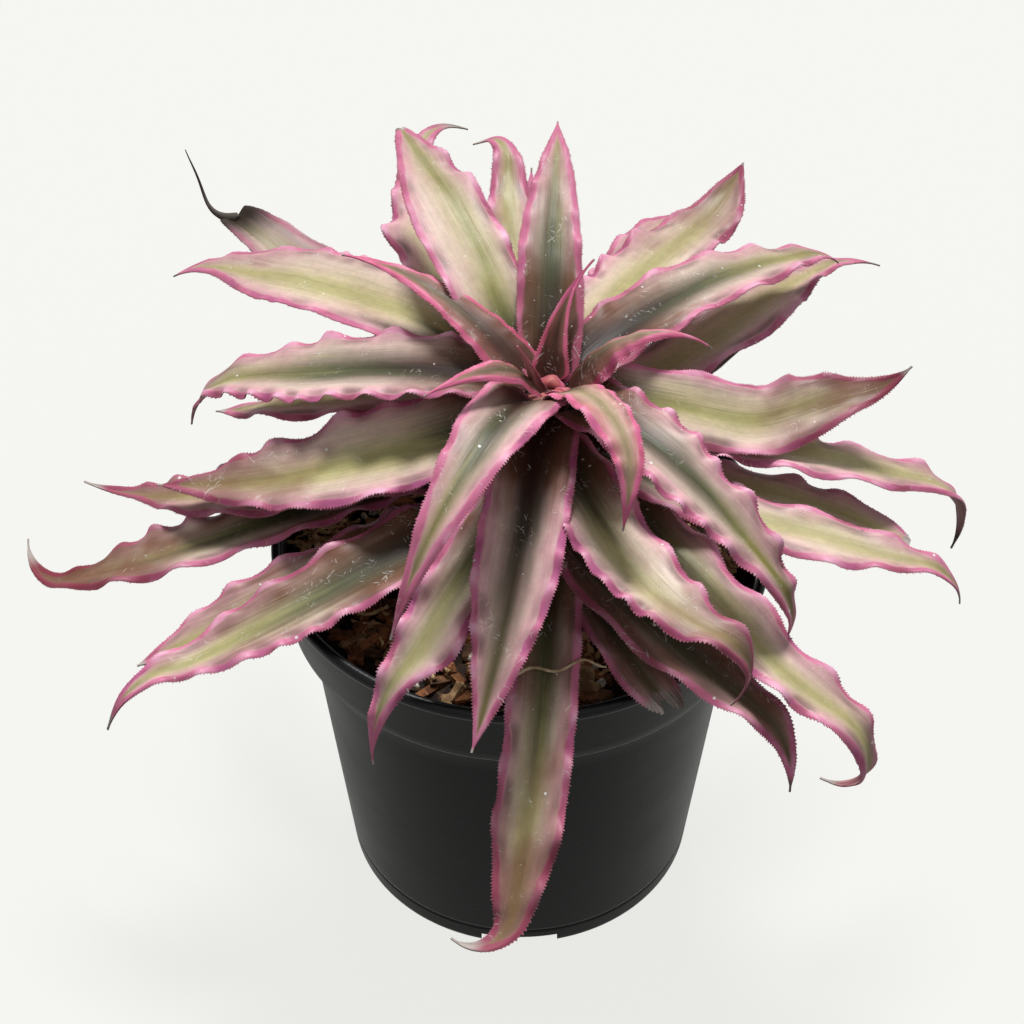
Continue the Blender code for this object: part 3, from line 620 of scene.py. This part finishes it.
def growBlade(size, seed):
    dice = random.Random(seed)
    rows = max(12, round(size["length"] / blade["rowStep"]))
    frames = centreline(size, rows)
    waves = {1: ruffle(size, 0, rows, dice), -1: ruffle(size, 1, rows, dice)}
    bm = bmesh.new()
    layers = bm.verts.layers.float_vector
    for layerName in ("leafPlace", "leafShape", "leafLook", "leafTint", "leafAge"):
        layers.new(layerName)
    bm.verts.layers.float.new("leafWave")
    # the layers come first, because adding one later makes the vertices' handles stale
    bmesh.ops.create_grid(bm, x_segments=rows, y_segments=blade["cells"], size=1)
    placeLayer, shapeLayer = layers["leafPlace"], layers["leafShape"]
    lookLayer, tintLayer, ageLayer = layers["leafLook"], layers["leafTint"], layers["leafAge"]
    waveLayer = bm.verts.layers.float["leafWave"]
    crowding, brimStart = blade["crowding"], blade["brimStart"]
    for v in bm.verts:
        k = round((v.co.x + 1) / 2 * rows)
        s, t = k / rows, sin(v.co.y * crowding) / sin(crowding)
        at, side, up, along = frames[k]
        edge = abs(t)
        sign = 1 if t >= 0 else -1
        half = max(widthAt(s, size) / 2 + standOut(s, sign, size), blade["tipWidth"] / 2)
        wave = waves[sign][k] * min(1, half / 7)
        reach = clampShare(1 - (1 - edge) * half / blade["flange"]) ** 1.3
        wrap = size["cup"] * clampShare(1 - s / blade["cupEnd"]) ** 1.3
        lift = half * (size["fold"] * edge ** 1.4 + wrap * edge ** 2) + wave * reach
        lift -= blade["brim"] * min(1, half / 10) * clampShare((edge - brimStart) / (1 - brimStart)) ** 1.8
        uneven = blade["unevenness"] * noise.noise(Vector((s * 7 + seed, t * 1.4, seed * 3.1)))
        lift += uneven * smooth(s * 6) * min(1, half / 6)
        outward = half * t + sign * blade["waveSpread"] * wave * reach
        ragged = 1.2 - abs(t + 0.15) * 1.6 + 0.8 * noise.noise(Vector((t * 6, seed, 0)))
        notch = size["torn"] * clampShare((s - 0.9) / 0.1) * ragged
        v.co = at + side * outward + up * lift - along * notch
        v[placeLayer] = (half * t, s * size["length"], seed * 9.7)
        v[shapeLayer] = (t, s, (1 - edge) * half * max(1, blade["fullWidth"] / size["width"]))
        v[waveLayer] = max(-1, min(wave / 2, 1)) * edge
        fade = clampShare(1 - s / size["dark"])
        tip = (1 - s) * size["length"]
        withered = smooth(1 - tip / size["dry"]) if size["dry"] else 0
        v[lookLayer] = (fade, size["green"], max(withered, size["dull"]))
        rotten = clampShare(1.15 - tip / size["rot"]) if size["rot"] else 0
        v[ageLayer] = (clampShare(1 - s / size["brown"]), rotten, size["aged"])
        v[tintLayer] = (size["pink"], size["purple"], 1)
    # the back: thick along the midrib, thin at the margins
    whole = bm.verts[:] + bm.edges[:] + bm.faces[:]
    for v in bmesh.ops.extrude_face_region(bm, geom=whole, use_keep_orig=True)["geom"]:
        if isinstance(v, bmesh.types.BMVert):
            t, s = v[shapeLayer][:2]
            half = widthAt(s, size) / 2
            rib = thicknessAt(half)
            thin = min(blade["margin"], rib)
            v.co -= frames[round(s * rows)][2] * (thin + (rib - thin) * (1 - abs(t)) ** 1.3)
            v[tintLayer] = (size["pink"], size["purple"], 0)
    # fine teeth: each small face of the margin is poked outwards, in order along the margin, so that
    # every run gives a tooth the same size
    walls = [f for f in bm.faces if all(abs(v[shapeLayer].x) > 0.999 for v in f.verts)
             and len({v[shapeLayer].x > 0 for v in f.verts}) == 1]
    spots = []
    for v in bmesh.ops.poke(bm, faces=walls, offset=0)["verts"]:
        around = [edge.other_vert(v) for edge in v.link_edges]
        first = min(around, key=lambda other: other[shapeLayer].y)
        middle = sum(other[shapeLayer].y for other in around) / len(around)
        spots.append((first[shapeLayer].x, middle, v, first))
    for t, s, v, first in sorted(spots, key=lambda spot: spot[:2]):
        half = widthAt(s, size) / 2
        frameAt = frames[round(s * rows)]
        tooth = blade["tooth"] * dice.uniform(*blade["toothSizes"]) * smooth(s / 0.08) * min(1, half / 4)
        v.co += frameAt[1] * (t * tooth) + frameAt[3] * (blade["toothLean"] * tooth)
        for layer in (placeLayer, lookLayer, ageLayer, waveLayer):
            v[layer] = first[layer]
        v[shapeLayer] = (t, s, -tooth)
        v[tintLayer] = (size["pink"], size["purple"], 0.5)
    if size["thread"]:
        growThread(bm, frames[-1], size, seed)
    bmesh.ops.scale(bm, verts=bm.verts, vec=(mm, mm, mm))
    uv = bm.loops.layers.uv.new("leaf")
    shapeLayer = bm.verts.layers.float_vector["leafShape"]
    for face in bm.faces:
        for loop in face.loops:
            t, s = loop.vert[shapeLayer][:2]
            loop[uv].uv = (0.5 + 0.5 * t, s)
    return bm


def edgesOf(verts):  # each edge once, in an order that every run repeats, as a set's is not
    return list(dict.fromkeys(edge for v in verts for edge in v.link_edges))


# One ring of a thread or a root, bridged to the ring before it
def addRing(bm, before, at, toward, radius, sides, isEnd):
    turn = toward.to_track_quat('Z', 'Y').to_matrix().to_4x4()
    verts = bmesh.ops.create_circle(bm, cap_ends=isEnd, segments=sides, radius=radius,
                                    matrix=Matrix.Translation(at) @ turn)["verts"]
    edges = edgesOf(verts)
    if before:
        bmesh.ops.bridge_loops(bm, edges=before + edges)
    return edges, verts


# The dried thread beyond a dead tip: rings from the blade's end, up and thinner
def growThread(bm, frameAt, size, seed):
    at, side, up, along = frameAt
    heading, start = atan2(along.y, along.x), asin(along.z)
    layers = bm.verts.layers.float_vector
    count, inset = blade["threadRings"], 2
    ring = None
    at = at - along * inset
    for k in range(count + 1):
        share = k / count
        rise = start + (radians(blade["threadRise"]) - start) * smooth(share * 1.3)
        toward = direction(rise, heading + 0.3 * sin(share * 9))
        if k:
            at = at + toward * ((size["thread"] + inset) / count)
        root = 3.6 * (1 - share) ** 7 * min(1, 0.2 + share * 16)
        radius = blade["threadRadius"] * (root + 1.3 * (1 - share) + 0.25)
        ring, verts = addRing(bm, ring, at, toward, radius, blade["threadSides"], k in (0, count))
        for v in verts:
            v[layers["leafLook"]] = (0.6, 0, 1)
            v[layers["leafAge"]] = (1, 0.75, 0)
            v[layers["leafPlace"]] = (0, 300 + k * 2, seed)


# The bud in the middle of the crown: small curled leaves, each (bearing, length, width, lift, droop, fold)
budMake = {
    "height": 191, "inward": 5.5, "firstSeed": 80,
    "leaves": ((245, 15, 10, 62, 150, -0.5), (335, 14, 9, 58, 140, -0.5), (150, 8, 7, 70, 120, -0.3),
               (305, 12, 3, 62, 70, 0.5), (75, 8, 8, 70, 130, -0.3)),
}


def makeBud(mat):
    bud = bmesh.new()
    for k, (bearing, length, width, lift, droop, fold) in enumerate(budMake["leaves"]):
        size = leaf(bearing, budMake["height"], length, width, lift, droop, 1, dark=0.3, green=0, pink=1,
                    dry=0, wave=(0.3, 0.3), pitch=4, neck=1, fold=fold, hold=0.3)
        one = growBlade(size, budMake["firstSeed"] + k)
        inward = direction(0, radians(bearing)) * (-budMake["inward"] * mm)
        bmesh.ops.translate(one, verts=one.verts, vec=inward)
        mesh = meshOf("bud part", one)
        bud.from_mesh(mesh)
        bpy.data.meshes.remove(mesh)
    finishPiece("crown_bud_leaves", bud, mat, "young_leaf", ["crown_bud"], sharp=55)


for number, (leafName, leafSize) in enumerate(leaves.items()):
    grown = growBlade(leafSize, number + 1)
    isYoung = leafName.startswith("crown")
    finish = youngLeaf if isYoung else matureLeaf
    slotName = "dry_leaf" if leafName.startswith("dry") else "young_leaf" if isYoung else "leaf"
    finishPiece(leafName + "_blade", grown, finish, slotName, [leafName], sharp=55)
makeBud(budLeaf)
print("leaves and bud grown")


# The pot: a turned shell with a rolled lip, a fine seam under the band and a faint ring above the foot

pot = {
    "height": 138, "rimRadius": 80, "bandRadius": 76, "bandBottom": 112, "bodyTopRadius": 70.5,
    "footRadius": 60.5, "wall": 1.8, "floorThickness": 2.2, "lipThickness": 3.2, "lipHeight": 2.5,
    "ringHeight": 8, "ringDepth": 0.25, "sides": 192,
    "drains": 4, "drainWidth": 26, "drainHeight": 4, "drainReach": 12,
    "colour": (8, 9, 10), "worn": (15, 16, 17), "dust": (70, 69, 66),
    "roughness": 0.3, "specular": 0.22, "sheen": 1.0, "sheenSpread": 0.2,
}


def potFinish():
    mat, tree, shader = newMaterial("black plastic", pot["roughness"], pot["specular"])
    shader.inputs["Sheen Weight"].default_value = pot["sheen"]
    shader.inputs["Sheen Roughness"].default_value = pot["sheenSpread"]
    where = addNode(tree, "TexCoord").outputs["Object"]
    grain = noiseOf(where, 900, 3, 0.6)
    haze = noiseOf(stretch(where, (1, 1, 2.2)), 24, 4, 0.6)
    dust = noiseOf(where, 210, 4, 0.7)
    tone = paint(ease(haze, 0.35, 0.75), colour(*pot["colour"]), colour(*pot["worn"]))
    tone = paint(ease(dust, 0.66, 0.8, 0, 0.3), tone, colour(*pot["dust"]))
    wire(tone, shader, "Base Color")
    wire(calc('MULTIPLY_ADD', haze, 0.22, pot["roughness"] - 0.08), shader, "Roughness")
    bump(shader, calc('ADD', grain, times(haze, 1.5)), 0.12 * mm, 0.5)
    return mat


def outerRadius(z):
    return pot["footRadius"] + (pot["bodyTopRadius"] - pot["footRadius"]) * z / pot["bandBottom"]


def turned(profile, sides):  # spins (radius, height) pairs in millimetres round Z
    bm = bmesh.new()
    verts = [bm.verts.new((r * mm, 0, z * mm)) for r, z in profile]
    edges = [bm.edges.new(pair) for pair in zip(verts, verts[1:])]
    bmesh.ops.spin(bm, geom=verts + edges, cent=(0, 0, 0), axis=(0, 0, 1), angle=2 * pi, steps=sides,
                   use_merge=True)
    bmesh.ops.remove_doubles(bm, verts=bm.verts, dist=0.01 * mm)
    bmesh.ops.recalc_face_normals(bm, faces=bm.faces)
    return bm


def makePot():
    top, band, rim, foot = pot["height"], pot["bandBottom"], pot["rimRadius"], pot["footRadius"]
    bandRadius, wall, bottom = pot["bandRadius"], pot["wall"], pot["floorThickness"]
    lipInner = rim - pot["lipThickness"]
    ring, depth = pot["ringHeight"], pot["ringDepth"]
    profile = [(0, 0), (foot - 1.2, 0), (foot - 0.35, 0.25), (outerRadius(0.7), 0.8)]
    profile += [(outerRadius(z), z) for z in (2, ring - 1.5, ring - 0.5)]
    profile += [(outerRadius(ring) - depth, z) for z in (ring - 0.2, ring + 0.2)]
    profile += [(outerRadius(z), z) for z in (ring + 0.5, ring + 1.5, 30, 55, 80, 100, band - 0.6)]
    profile += [(pot["bodyTopRadius"] + 0.3, band), (bandRadius - 1.1, band + 0.9)]
    profile += [(bandRadius - 0.35, band + 1.3), (bandRadius, band + 2)]
    rise = (rim - 0.8 - bandRadius) / (top - 3.5 - band - 2)
    profile += [(bandRadius + rise * (z - band - 2), z) for z in (band + 5, band + 9, band + 14, top - 4.6)]
    rounding = ((0.85, 3.9), (0.25, 3.5), (0, 2.7), (0, 1.4), (0.35, 0.5), (1.1, 0.05), (1.9, 0))
    profile += [(rim - inward, top - down) for inward, down in rounding]
    profile += [(lipInner + 0.5, top - 0.3), (lipInner + 0.08, top - 1), (lipInner, top - pot["lipHeight"])]
    profile += [(bandRadius - wall, band + 5), (pot["bodyTopRadius"] - wall, band + 1)]
    profile += [(outerRadius(bottom) - wall, bottom + 2), (foot - wall - 2, bottom), (0, bottom)]
    body = addObject("pot shell", meshOf("pot shell", turned(profile, pot["sides"])))
    slots = bmesh.new()
    for k in range(pot["drains"]):
        made = bmesh.ops.create_cube(slots, size=mm)["verts"]
        slotSize = (2 * pot["drainReach"], pot["drainWidth"], 2 * pot["drainHeight"])
        bmesh.ops.scale(slots, verts=made, vec=slotSize)
        bmesh.ops.translate(slots, verts=made, vec=(foot * mm, 0, 0))
        turn = Matrix.Rotation(2 * pi * k / pot["drains"] + pi / 2, 3, 'Z')
        bmesh.ops.rotate(slots, verts=made, cent=(0, 0, 0), matrix=turn)
    cutter = addObject("drain cutter", meshOf("drain cutter", slots))
    cut = body.modifiers.new("drains", 'BOOLEAN')
    cut.object = cutter
    cutMesh = bpy.data.meshes.new_from_object(body.evaluated_get(bpy.context.evaluated_depsgraph_get()))
    finished = bmesh.new()
    finished.from_mesh(cutMesh)
    for old in (body.data, cutter.data, cutMesh):  # the objects go with their meshes
        bpy.data.meshes.remove(old)
    finishPiece("nursery_pot", finished, potFinish(), "pot_plastic", ["pot"], sharp=50)


makePot()
print("pot turned")


# The potting mix: a rough bed, bark chips, perlite and dry root bits

mix = {
    "level": 126, "radius": 74.6, "rings": 46, "sides": 120, "roughness": 1.6, "stemRoom": 10, "seed": 5,
    "chips": 620, "chipLength": (4.5, 13), "chipWidth": (2.5, 6), "chipThickness": (1, 2.6),
    "perlite": 60, "perliteSize": (1.0, 2.1), "perliteTones": ((150, 140, 124), (226, 218, 204)),
    "roots": 90, "rootRadius": (0.45, 1.1), "rootStep": 1.3, "rootRings": 9, "rootSides": 7,
    "clumps": ((175, 63), (-3, 61)), "clumpRoots": 22,  # each clump is (bearing, distance from the middle)
}


def barkFinish(name, first, second, pale, roughness=0.85):
    mat, tree, shader = newMaterial(name, roughness, 0.25)
    where = addNode(tree, "TexCoord").outputs["Object"]
    patches = noiseOf(where, 160, 3, 0.6)
    fibre = noiseOf(stretch(where, (900, 240, 900), 30), 1, 3, 0.6)
    tone = paint(ease(patches, 0.4, 0.62), colour(*first), colour(*second))
    tone = paint(ease(fibre, 0.56, 0.74, 0, 0.6), tone, colour(*pale))
    wire(tone, shader, "Base Color")
    bump(shader, calc('ADD', fibre, patches), 0.5 * mm, 0.9)
    return mat


def makeBed(mat):
    steps = mix["rings"]
    low = mix["level"] - 1.5
    profile = [(0, low), (mix["radius"], low)]
    profile += [(mix["radius"] * (1 - k / steps), mix["level"] + 0.6) for k in range(steps + 1)]
    bed = turned(profile, mix["sides"])
    for v in bed.verts:
        if v.co.z > mix["level"] * mm:
            rough = noise.fractal(v.co * 260, 1.0, 2.0, 3) + 0.5 * noise.noise(v.co * 900)
            v.co.z += mix["roughness"] * mm * max(rough, -0.3)
    finishPiece("mix_bed", bed, mat, "potting_mix", sharp=0)


# Free spots on the bed, outside the stem
def spotOn(dice, inset=5.0):
    while True:
        r, turn = (mix["radius"] - inset) * sqrt(dice.random()), dice.uniform(0, 2 * pi)
        x, y = r * cos(turn), r * sin(turn)
        if hypot(x - blade["plantX"], y - blade["plantY"]) > mix["stemRoom"]:
            return x, y


def turnedAtRandom(dice, tilt):
    turn = Matrix.Rotation(dice.uniform(0, 2 * pi), 4, 'Z')
    lean = Matrix.Rotation(radians(dice.uniform(-tilt, tilt)), 4, 'X')
    return turn @ lean @ Matrix.Rotation(radians(dice.uniform(-tilt, tilt)), 4, 'Y')


def makeChips(mats, dice):
    noise.seed_set(mix["seed"])  # noise_vector follows the clock otherwise
    piles = [bmesh.new() for _ in mats]
    for k in range(mix["chips"]):
        pile = piles[k % len(piles)]
        length, width = dice.uniform(*mix["chipLength"]), dice.uniform(*mix["chipWidth"])
        thick = dice.uniform(*mix["chipThickness"])
        before = len(pile.verts)
        made = bmesh.ops.create_cube(pile, size=1)["verts"]
        bmesh.ops.subdivide_edges(pile, edges=edgesOf(made), cuts=1, use_grid_fill=True)
        verts = pile.verts[:][before:]
        for v in verts:
            trim = 1 - 0.16 * (v.co.length_squared > 0.45)  # takes the corners in
            jolt = noise.noise_vector(v.co * 2.3 + Vector((k * 3.7, 0, 0)))
            v.co = Vector((v.co.x * trim, v.co.y * trim, v.co.z)) + jolt * 0.2
        bmesh.ops.scale(pile, verts=verts, vec=(length * mm, width * mm, thick * mm))
        x, y = spotOn(dice, length / 2 + 1.5)
        z = mix["level"] + dice.uniform(1.1, 3.2)
        place = Matrix.Translation(Vector((x, y, z)) * mm) @ turnedAtRandom(dice, 22)
        bmesh.ops.transform(pile, verts=verts, matrix=place)
    for k, pile in enumerate(piles):
        finishPiece("bark_chips_%d" % (k + 1), pile, mats[k], "potting_mix", sharp=30)


def makePerlite(dice):
    mat, tree, shader = newMaterial("perlite", 0.8, 0.3)
    where = addNode(tree, "TexCoord").outputs["Object"]
    grit = noiseOf(where, 700, 3, 0.6)
    darker, paler = [colour(*tone) for tone in mix["perliteTones"]]
    tone = paint(ease(grit, 0.35, 0.65), darker, paler)
    wire(tone, shader, "Base Color")
    bump(shader, grit, 0.3 * mm, 0.8)
    pile = bmesh.new()
    for k in range(mix["perlite"]):
        made = bmesh.ops.create_icosphere(pile, subdivisions=2, radius=1)["verts"]
        for v in made:
            v.co *= 1 + 0.35 * noise.noise(v.co * 1.3 + Vector((k * 5.1, 0, 0)))
        size = dice.uniform(*mix["perliteSize"])
        bmesh.ops.scale(pile, verts=made, vec=(size * mm, size * 0.8 * mm, size * 0.65 * mm))
        x, y = spotOn(dice)
        z = mix["level"] + dice.uniform(1.6, 3.6)
        place = Matrix.Translation(Vector((x, y, z)) * mm) @ turnedAtRandom(dice, 60)
        bmesh.ops.transform(pile, verts=made, matrix=place)
    finishPiece("perlite_grains", pile, mat, "potting_mix", sharp=0)


# Rings of one radius each, bridged along a path of points
def growTube(bm, points, radii):
    ring = None
    for k, point in enumerate(points):
        before, after = points[max(k - 1, 0)], points[min(k + 1, len(points) - 1)]
        isEnd = k in (0, len(points) - 1)
        ring = addRing(bm, ring, point, after - before, radii[k], mix["rootSides"], isEnd)[0]


def makeRoots(mat, dice):
    pile = bmesh.new()
    starts = [Vector((*spotOn(dice, 9), mix["level"] + dice.uniform(2.2, 3.6))) for _ in range(mix["roots"])]
    for bearing, radius in mix["clumps"]:
        middle = direction(0, radians(bearing)) * radius
        for k in range(mix["clumpRoots"]):
            high = mix["level"] + 1.8 + 0.2 * k
            starts.append(Vector((middle.x + dice.uniform(-6, 6), middle.y + dice.uniform(-6, 6), high)))
    for at in starts:
        heading = dice.uniform(0, 2 * pi)
        points, radii = [], []
        thick = dice.uniform(*mix["rootRadius"])
        for j in range(mix["rootRings"]):
            points.append(at * mm)
            radii.append(thick * dice.uniform(0.6, 1.25) * mm)
            heading += dice.uniform(-0.8, 0.8)
            step = Vector((cos(heading), sin(heading), dice.uniform(-0.35, 0.3)))
            at = at + step * mix["rootStep"]
        growTube(pile, points, radii)
    finishPiece("root_bits", pile, mat, "potting_mix", sharp=0)


# One pale root fibre lies dried across the long front leaf
fibre = {
    "leaf": "front_leaf_4", "share": 0.42, "from": -10, "to": 18, "thick": 0.42, "lift": 1.9, "steps": 30,
}


def makeFibre(mat):
    at, side, up, along = centreline(leaves[fibre["leaf"]], 100)[round(100 * fibre["share"])]
    points, radii = [], []
    for k in range(fibre["steps"] + 1):
        x = fibre["from"] + (fibre["to"] - fibre["from"]) * k / fibre["steps"]
        high = fibre["lift"] + 0.5 * sin(x * 0.6) - 0.014 * max(0, abs(x) - 8) ** 2
        points.append((at + side * x + up * high + along * (1.3 * sin(x * 0.45) - 0.22 * x)) * mm)
        radii.append(fibre["thick"] * (1.3 - 0.5 * k / fibre["steps"] + 0.2 * sin(k * 2.3)) * mm)
    strand = bmesh.new()
    growTube(strand, points, radii)
    finishPiece("root_fibre", strand, mat, "potting_mix", sharp=0)


mixDice = random.Random(mix["seed"])
darkBark = barkFinish("dark bark", (50, 34, 24), (104, 70, 46), (166, 128, 92))
redBark = barkFinish("red bark", (92, 56, 34), (156, 100, 62), (206, 160, 114))
paleBark = barkFinish("pale bark", (132, 100, 68), (196, 158, 116), (236, 208, 168))
rootTan = barkFinish("root tan", (176, 140, 96), (222, 190, 142), (240, 218, 180))
rootPale = barkFinish("pale fibre", (186, 160, 124), (226, 206, 172), (240, 226, 200))
soilDark = barkFinish("fine mix", (22, 17, 13), (50, 37, 28), (92, 72, 56), 0.95)
makeBed(soilDark)
makeChips([darkBark, redBark, paleBark, redBark], mixDice)
makePerlite(mixDice)
makeRoots(rootTan, mixDice)
makeFibre(rootPale)
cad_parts["potting_mix"].data.materials.clear()
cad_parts["potting_mix"].data.materials.append(soilDark)
print("potting mix filled")


# The stem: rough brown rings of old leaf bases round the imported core
stem = {
    "from": 124, "to": 191, "rings": 60, "sides": 40, "scar": 6.5, "depth": 0.8, "inset": 0.1,
    "dark": (46, 30, 24), "pale": (128, 92, 72),
}


def makeStem():
    mat, tree, shader = newMaterial("old stem", 0.8, 0.3)
    where = addNode(tree, "TexCoord").outputs["Object"]
    bark = noiseOf(stretch(where, (500, 500, 160)), 1, 4, 0.6)
    tone = paint(ease(bark, 0.35, 0.7), colour(*stem["dark"]), colour(*stem["pale"]))
    wire(tone, shader, "Base Color")
    bump(shader, bark, 0.5 * mm, 0.9)
    steps = stem["rings"]
    profile = [(0, stem["from"])]
    for k in range(steps + 1):
        z = stem["from"] + (stem["to"] - stem["from"]) * k / steps
        lap = (z % stem["scar"]) / stem["scar"]
        profile.append((stemRadiusAt(z) - stem["inset"] - stem["depth"] * lap, z))
    profile.append((0, stem["to"]))
    core = turned(profile, stem["sides"])
    for v in core.verts:
        shift = 0.35 * mm * noise.noise(v.co * 420)
        flat = Vector((v.co.x, v.co.y, 0))
        v.co += flat.normalized() * min(shift, 0) if flat.length > 1 * mm else Vector()
    bmesh.ops.translate(core, verts=core.verts, vec=(blade["plantX"] * mm, blade["plantY"] * mm, 0))
    finishPiece("stem_rings", core, mat, "old_stem", ["stem"], sharp=60)


makeStem()
print("stem made")

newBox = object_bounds()
